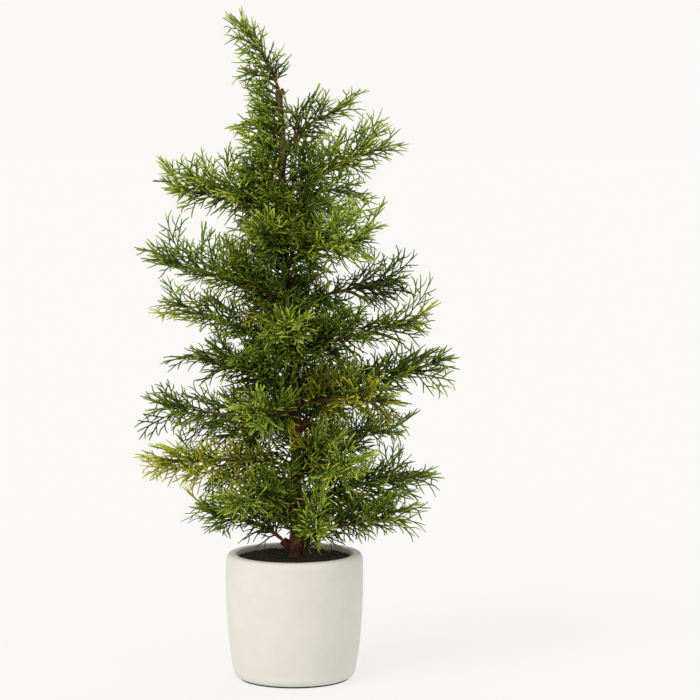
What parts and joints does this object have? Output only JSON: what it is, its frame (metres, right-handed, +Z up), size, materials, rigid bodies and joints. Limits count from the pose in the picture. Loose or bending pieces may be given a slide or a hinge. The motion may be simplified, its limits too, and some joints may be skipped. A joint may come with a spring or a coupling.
{
  "type": "artificial tabletop tree",
  "caption": "Small artificial evergreen with a slim bark-covered trunk and bendable fine-leaved branches, set in a plain round cement pot filled with dark soil.",
  "frame": {"origin": "middle of the underside of the pot's felt pad, on the surface that the tree stands on", "axes": "+Z up the tree, +X to the tree's right-hand side, -Y to its front"},
  "size_m": [0.2988, 0.2285, 0.6061],
  "materials": {
    "felt": "matte",
    "cement": "matte",
    "plaster": "matte",
    "foam": "matte",
    "soil": "matte",
    "wire": "satin",
    "bark": "matte",
    "stem": "matte",
    "foliage_green": "satin",
    "foliage_bright": "satin",
    "foliage_yellow": "satin"
  },
  "bodies": {
    "root": {"base_felt": "felt", "pot": "cement", "ballast": "plaster", "foam_block": "foam", "soil": "soil", "trunk_core": "wire", "trunk_foot": "bark", "trunk_lower": "bark", "trunk_upper": "bark", "trunk_top": "bark"},
    "left_low": {"left_low_stem": "stem", "left_low_foliage": "foliage_green"},
    "right_low": {"right_low_stem": "stem", "right_low_foliage": "foliage_green"},
    "front_low": {"front_low_sprig": "foliage_bright"},
    "back_low": {"back_low_stem": "stem", "back_low_foliage": "foliage_green"},
    "right_fork": {"right_fork_stem": "stem", "right_fork_foliage": "foliage_green"},
    "front_left_low": {"front_left_low_sprig": "foliage_green"},
    "left_yellow": {"left_yellow_stem": "stem", "left_yellow_foliage": "foliage_yellow"},
    "right_back_low": {"right_back_low_stem": "stem", "right_back_low_foliage": "foliage_green"},
    "front_right_low": {"front_right_low_sprig": "foliage_green"},
    "left_broad": {"left_broad_stem": "stem", "left_broad_foliage": "foliage_green"},
    "right_thick": {"right_thick_stem": "stem", "right_thick_foliage": "foliage_green"},
    "front_left_mid": {"front_left_mid_sprig": "foliage_green"},
    "back_mid": {"back_mid_stem": "stem", "back_mid_foliage": "foliage_green"},
    "front_right_yellow": {"front_right_yellow_stem": "stem", "front_right_yellow_foliage": "foliage_yellow"},
    "left_short": {"left_short_stem": "stem", "left_short_foliage": "foliage_green"},
    "right_mid": {"right_mid_stem": "stem", "right_mid_foliage": "foliage_green"},
    "left_pale": {"left_pale_stem": "stem", "left_pale_foliage": "foliage_bright"},
    "front_mid": {"front_mid_sprig": "foliage_green"},
    "back_high": {"back_high_stem": "stem", "back_high_foliage": "foliage_green"},
    "right_dark": {"right_dark_stem": "stem", "right_dark_foliage": "foliage_green"},
    "left_high": {"left_high_stem": "stem", "left_high_foliage": "foliage_green"},
    "right_pale": {"right_pale_stem": "stem", "right_pale_foliage": "foliage_bright"},
    "front_high": {"front_high_sprig": "foliage_bright"},
    "left_top": {"left_top_stem": "stem", "left_top_foliage": "foliage_green"},
    "back_right_top": {"back_right_top_sprig": "foliage_green"},
    "right_top": {"right_top_stem": "stem", "right_top_foliage": "foliage_green"},
    "right_tip": {"right_tip_stem": "stem", "right_tip_foliage": "foliage_green"},
    "leader": {"leader_stem": "stem", "leader_foliage": "foliage_green"}
  },
  "joints": [
    {"name": "left_low_bend", "type": "hinge", "parent": "root", "child": "left_low", "pos_m": [-0.01045, -0.00158, 0.125], "axis": [-0.1219, 0.9925, 0], "range_deg": [-18, 10]},
    {"name": "right_low_bend", "type": "hinge", "parent": "root", "child": "right_low", "pos_m": [0.01506, -0.00314, 0.125], "axis": [-0.2419, -0.9703, 0], "range_deg": [-18, 3]},
    {"name": "front_low_bend", "type": "hinge", "parent": "root", "child": "front_low", "pos_m": [0.0083, -0.0105, 0.124], "axis": [-0.8746, -0.4848, 0], "range_deg": [-18, 20]},
    {"name": "back_low_bend", "type": "hinge", "parent": "root", "child": "back_low", "pos_m": [0.00064, 0.01287, 0.125], "axis": [0.9903, 0.1392, 0], "range_deg": [-18, 20]},
    {"name": "right_fork_bend", "type": "hinge", "parent": "root", "child": "right_fork", "pos_m": [0.01216, 0.00229, 0.16], "axis": [0.2079, -0.9781, 0], "range_deg": [-5, 8]},
    {"name": "front_left_low_bend", "type": "hinge", "parent": "root", "child": "front_left_low", "pos_m": [-0.00448, -0.00809, 0.158], "axis": [-0.809, 0.5878, 0], "range_deg": [-18, 10]},
    {"name": "left_yellow_bend", "type": "hinge", "parent": "root", "child": "left_yellow", "pos_m": [-0.00903, -0.00322, 0.194], "axis": [-0.2924, 0.9563, 0], "range_deg": [-10, 12]},
    {"name": "right_back_low_bend", "type": "hinge", "parent": "root", "child": "right_back_low", "pos_m": [0.00941, 0.00764, 0.194], "axis": [0.6947, -0.7193, 0], "range_deg": [-9, 20]},
    {"name": "front_right_low_bend", "type": "hinge", "parent": "root", "child": "front_right_low", "pos_m": [0.0067, -0.00848, 0.19], "axis": [-0.848, -0.5299, 0], "range_deg": [-18, 20]},
    {"name": "left_broad_bend", "type": "hinge", "parent": "root", "child": "left_broad", "pos_m": [-0.00837, 0.00285, 0.226], "axis": [0.2588, 0.9659, 0], "range_deg": [-12, 20]},
    {"name": "right_thick_bend", "type": "hinge", "parent": "root", "child": "right_thick", "pos_m": [0.01281, 0.00153, 0.234], "axis": [0.1392, -0.9903, 0], "range_deg": [-18, 11]},
    {"name": "front_left_mid_bend", "type": "hinge", "parent": "root", "child": "front_left_mid", "pos_m": [-0.00209, -0.00927, 0.238], "axis": [-0.9272, 0.3746, 0], "range_deg": [-18, 20]},
    {"name": "back_mid_bend", "type": "hinge", "parent": "root", "child": "back_mid", "pos_m": [0.00102, 0.01097, 0.236], "axis": [0.9976, 0.0698, 0], "range_deg": [-18, 20]},
    {"name": "front_right_yellow_bend", "type": "hinge", "parent": "root", "child": "front_right_yellow", "pos_m": [0.00855, -0.00643, 0.25], "axis": [-0.6428, -0.766, 0], "range_deg": [-18, 20]},
    {"name": "left_short_bend", "type": "hinge", "parent": "root", "child": "left_short", "pos_m": [-0.00849, -0.00438, 0.263], "axis": [-0.4384, 0.8988, 0], "range_deg": [-18, 12]},
    {"name": "right_mid_bend", "type": "hinge", "parent": "root", "child": "right_mid", "pos_m": [0.01001, -0.00309, 0.298], "axis": [-0.309, -0.9511, 0], "range_deg": [-14, 20]},
    {"name": "left_pale_bend", "type": "hinge", "parent": "root", "child": "left_pale", "pos_m": [-0.00951, 0.00208, 0.3], "axis": [0.2079, 0.9781, 0], "range_deg": [-18, 9]},
    {"name": "front_mid_bend", "type": "hinge", "parent": "root", "child": "front_mid", "pos_m": [-0.00104, -0.00898, 0.306], "axis": [-0.9976, 0.0698, 0], "range_deg": [-18, 20]},
    {"name": "back_high_bend", "type": "hinge", "parent": "root", "child": "back_high", "pos_m": [-0.0042, 0.0097, 0.318], "axis": [0.9703, 0.2419, 0], "range_deg": [-18, 20]},
    {"name": "right_dark_bend", "type": "hinge", "parent": "root", "child": "right_dark", "pos_m": [0.00521, 0.00375, 0.338], "axis": [0.3746, -0.9272, 0], "range_deg": [-18, 20]},
    {"name": "left_high_bend", "type": "hinge", "parent": "root", "child": "left_high", "pos_m": [-0.01449, -0.00225, 0.344], "axis": [-0.225, 0.9744, 0], "range_deg": [-12, 19]},
    {"name": "right_pale_bend", "type": "hinge", "parent": "root", "child": "right_pale", "pos_m": [-0.00034, -0.0045, 0.38], "axis": [-0.5, -0.866, 0], "range_deg": [-18, 20]},
    {"name": "front_high_bend", "type": "hinge", "parent": "root", "child": "front_high", "pos_m": [-0.01207, -0.00846, 0.39], "axis": [-0.9397, 0.342, 0], "range_deg": [-18, 20]},
    {"name": "left_top_bend", "type": "hinge", "parent": "root", "child": "left_top", "pos_m": [-0.01952, 0.00031, 0.424], "axis": [0.0349, 0.9994, 0], "range_deg": [-18, 20]},
    {"name": "back_right_top_bend", "type": "hinge", "parent": "root", "child": "back_right_top", "pos_m": [-0.00398, 0.00602, 0.428], "axis": [0.6691, -0.7431, 0], "range_deg": [-18, 8]},
    {"name": "right_top_bend", "type": "hinge", "parent": "root", "child": "right_top", "pos_m": [-0.00197, 0.00094, 0.44], "axis": [0.1045, -0.9945, 0], "range_deg": [-13, 17]},
    {"name": "right_tip_bend", "type": "hinge", "parent": "root", "child": "right_tip", "pos_m": [-0.00245, -0.00194, 0.484], "axis": [-0.2419, -0.9703, 0], "range_deg": [-18, 20]},
    {"name": "leader_bend", "type": "hinge", "parent": "root", "child": "leader", "pos_m": [-0.013, 0, 0.53], "axis": [0, 1, 0], "range_deg": [-18, 20]}
  ]
}
